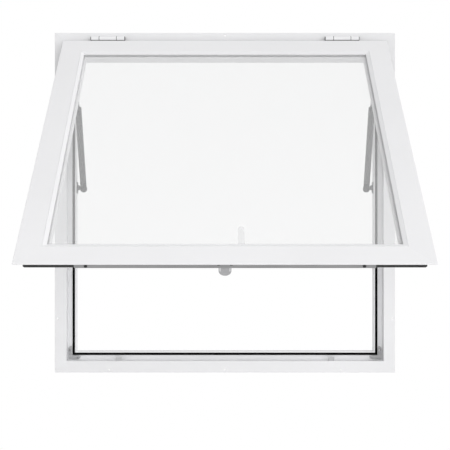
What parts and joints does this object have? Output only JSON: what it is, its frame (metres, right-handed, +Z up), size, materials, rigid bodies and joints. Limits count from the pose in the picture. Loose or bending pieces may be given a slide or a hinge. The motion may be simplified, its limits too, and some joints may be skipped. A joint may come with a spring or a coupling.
{
  "type": "awning concession window",
  "caption": "Square flanged frame with a top-hung glazed sash held open on gas struts, serving through the frame's opening.",
  "frame": {"origin": "on the back face of the frame's flange, at the middle of its width and of the lap under the cut-out", "axes": "+X to the right seen from outside, +Y through the wall into the building, +Z up"},
  "size_m": [0.982, 0.7572, 0.98],
  "materials": {
    "white_paint": "white powder coat, satin",
    "clear_glass": "clear tempered glass",
    "black_rubber": "black bulb and edge seals",
    "grey_tape": "grey glazing tape",
    "grey_plastic": "moulded grey",
    "black_plastic": "moulded black",
    "white_plastic": "moulded off-white",
    "black_paint": "black painted steel, satin",
    "mill_aluminium": "anodised, satin",
    "steel": "stainless, brushed",
    "rod_chrome": "hard chromed"
  },
  "bodies": {
    "root": {"corner_key_bottom_left": "grey_plastic", "corner_key_bottom_right": "grey_plastic", "corner_key_top_left": "grey_plastic", "corner_key_top_right": "grey_plastic", "frame_gasket": "black_rubber", "frame_head": "white_paint", "frame_jamb_left": "white_paint", "frame_jamb_right": "white_paint", "frame_sill": "white_paint", "glass_pane": "clear_glass", "glazing_bead_bottom": "white_paint", "glazing_bead_left": "white_paint", "glazing_bead_right": "white_paint", "glazing_bead_top": "white_paint", "glazing_tape": "grey_tape", "hinge_left_frame_leaf": "white_paint", "hinge_left_pin": "steel", "hinge_left_sash_leaf": "white_paint", "hinge_right_frame_leaf": "white_paint", "hinge_right_pin": "steel", "hinge_right_sash_leaf": "white_paint", "keeper_left": "grey_plastic", "keeper_right": "grey_plastic", "lock_bar": "mill_aluminium", "lock_housing": "grey_plastic", "lock_lever": "white_plastic", "lock_point_left": "black_plastic", "lock_point_right": "black_plastic", "sash_bottom_rail": "white_paint", "sash_seal": "black_rubber", "sash_stile_left": "white_paint", "sash_stile_right": "white_paint", "sash_top_rail": "white_paint", "strut_left_frame_bracket": "black_paint", "strut_left_lower_socket": "black_plastic", "strut_left_rod": "rod_chrome", "strut_left_sash_bracket": "black_paint", "strut_left_tube": "black_paint", "strut_left_upper_socket": "black_plastic", "strut_right_frame_bracket": "black_paint", "strut_right_lower_socket": "black_plastic", "strut_right_rod": "rod_chrome", "strut_right_sash_bracket": "black_paint", "strut_right_tube": "black_paint", "strut_right_upper_socket": "black_plastic"}
  },
  "joints": []
}
